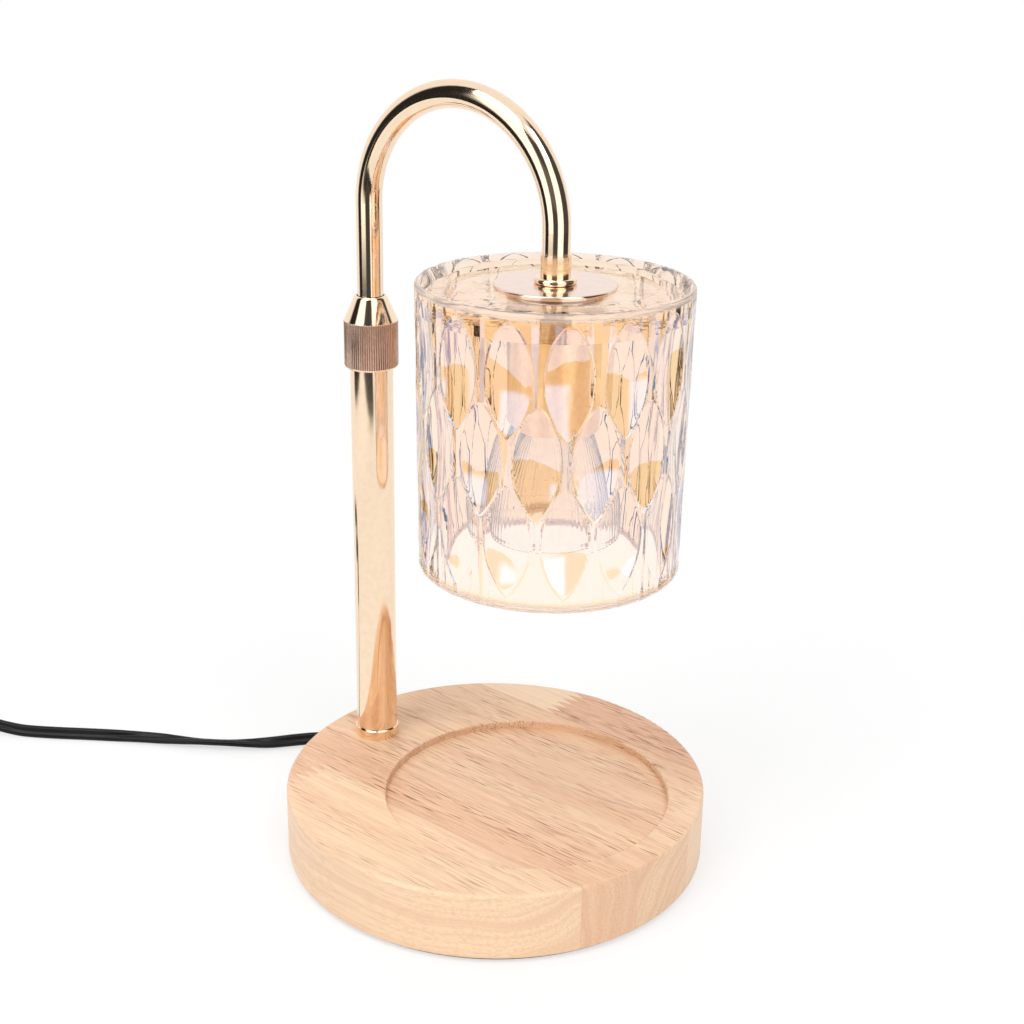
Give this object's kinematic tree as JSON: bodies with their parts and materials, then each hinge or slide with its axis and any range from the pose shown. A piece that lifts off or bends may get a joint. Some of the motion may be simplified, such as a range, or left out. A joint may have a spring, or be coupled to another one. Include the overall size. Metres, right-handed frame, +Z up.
{
  "type": "candle warmer lamp",
  "caption": "Table lamp that melts a jar candle from above: round wooden base with a candle seat, pole with height lock, gooseneck arm and moulded glass shade.",
  "frame": {"origin": "centre of the base's resting face on the table", "axes": "+Z up, +X from the pole towards the shade, so that the arm lies in the XZ plane at rest; the cord leaves at the back, towards -X"},
  "size_m": [0.462, 0.2049, 0.288],
  "materials": {
    "rubberwood": "satin lacquer over finger-jointed strips",
    "pad_foam": "matt",
    "gold_plate": "polished, pale rose gold plating",
    "zinc_steel": "zinc plated",
    "nylon": "matt",
    "brass_ring": "turned",
    "black_rubber": "matt",
    "cord_jacket": "satin",
    "lead_sleeve": "satin",
    "tinted_glass": "polished, pale amber lustre",
    "silicone": "translucent matt",
    "brass_cup": "satin",
    "ceramic": "glazed ceramic",
    "bulb_glass": "pressed glass",
    "nickel": "nickel plated",
    "black_plastic": "fine spark texture",
    "board": "circuit board"
  },
  "bodies": {
    "base": {"wood_base": "rubberwood", "base_pad": "pad_foam", "base_washer": "zinc_steel", "base_nut": "zinc_steel", "base_nipple": "zinc_steel", "pole_plug": "nylon", "cord_strap": "zinc_steel", "strap_screws": "zinc_steel", "cord_grommet": "black_rubber", "pole": "gold_plate", "foot_ring": "gold_plate", "pole_bush": "gold_plate", "collet": "nylon", "base_lead": "lead_sleeve", "lamp_cord": "cord_jacket", "plug_cord": "cord_jacket", "plug_tail": "cord_jacket", "dimmer_base": "black_plastic", "dimmer_cover": "black_plastic", "dimmer_board": "board", "dimmer_pot": "zinc_steel", "dimmer_screws": "zinc_steel", "dimmer_reliefs": "black_rubber", "cord_coil": "cord_jacket", "coil_tie": "black_rubber", "plug_body": "black_plastic", "plug_relief": "black_rubber", "plug_blades": "brass_ring"},
    "ring": {"thrust_ring": "brass_ring"},
    "collar": {"lock_collar": "gold_plate"},
    "guide": {"guide_bush": "nylon"},
    "arm": {"arm_tube": "gold_plate", "arm_lead": "lead_sleeve", "retaining_ring": "zinc_steel", "stop_ring": "brass_ring", "neck_sleeve": "gold_plate", "neck_flange": "gold_plate", "top_disc": "gold_plate", "neck_stud": "zinc_steel", "shade_gasket": "silicone", "neck_nut": "zinc_steel", "glass_shade": "tinted_glass", "holder_cup": "brass_cup", "holder_bracket": "zinc_steel", "lamp_holder": "ceramic", "bracket_screws": "zinc_steel", "holder_contacts": "brass_ring", "bulb_reflector": "bulb_glass", "bulb_lens": "bulb_glass", "bulb_foot": "ceramic", "bulb_capsule": "bulb_glass", "bulb_pins": "nickel"},
    "dial": {"dimmer_dial": "black_plastic", "dimmer_shaft": "black_plastic"}
  },
  "joints": [
    {"name": "ring_rise", "type": "slide", "parent": "base", "child": "ring", "axis": [0, 0, 1], "range_m": [0, 0.00075]},
    {"name": "collar_turn", "type": "hinge", "parent": "ring", "child": "collar", "pos_m": [-0.06, 0, 0.19], "axis": [0, 0, 1], "range_deg": [0, 270]},
    {"name": "arm_height", "type": "slide", "parent": "base", "child": "guide", "axis": [0, 0, 1], "range_m": [-0.032, 0.07]},
    {"name": "arm_swivel", "type": "hinge", "parent": "guide", "child": "arm", "pos_m": [-0.06, 0, 0.093], "axis": [0, 0, 1], "range_deg": [-180, 180]},
    {"name": "dimmer_turn", "type": "hinge", "parent": "base", "child": "dial", "pos_m": [-0.2625, -0.0916, 0.018], "axis": [0, 0, 1], "range_deg": [0, 270]}
  ],
  "couplings": [
    {"joint": "collar_turn", "follows": "ring_rise", "rad_per_m": 6283.2}
  ]
}
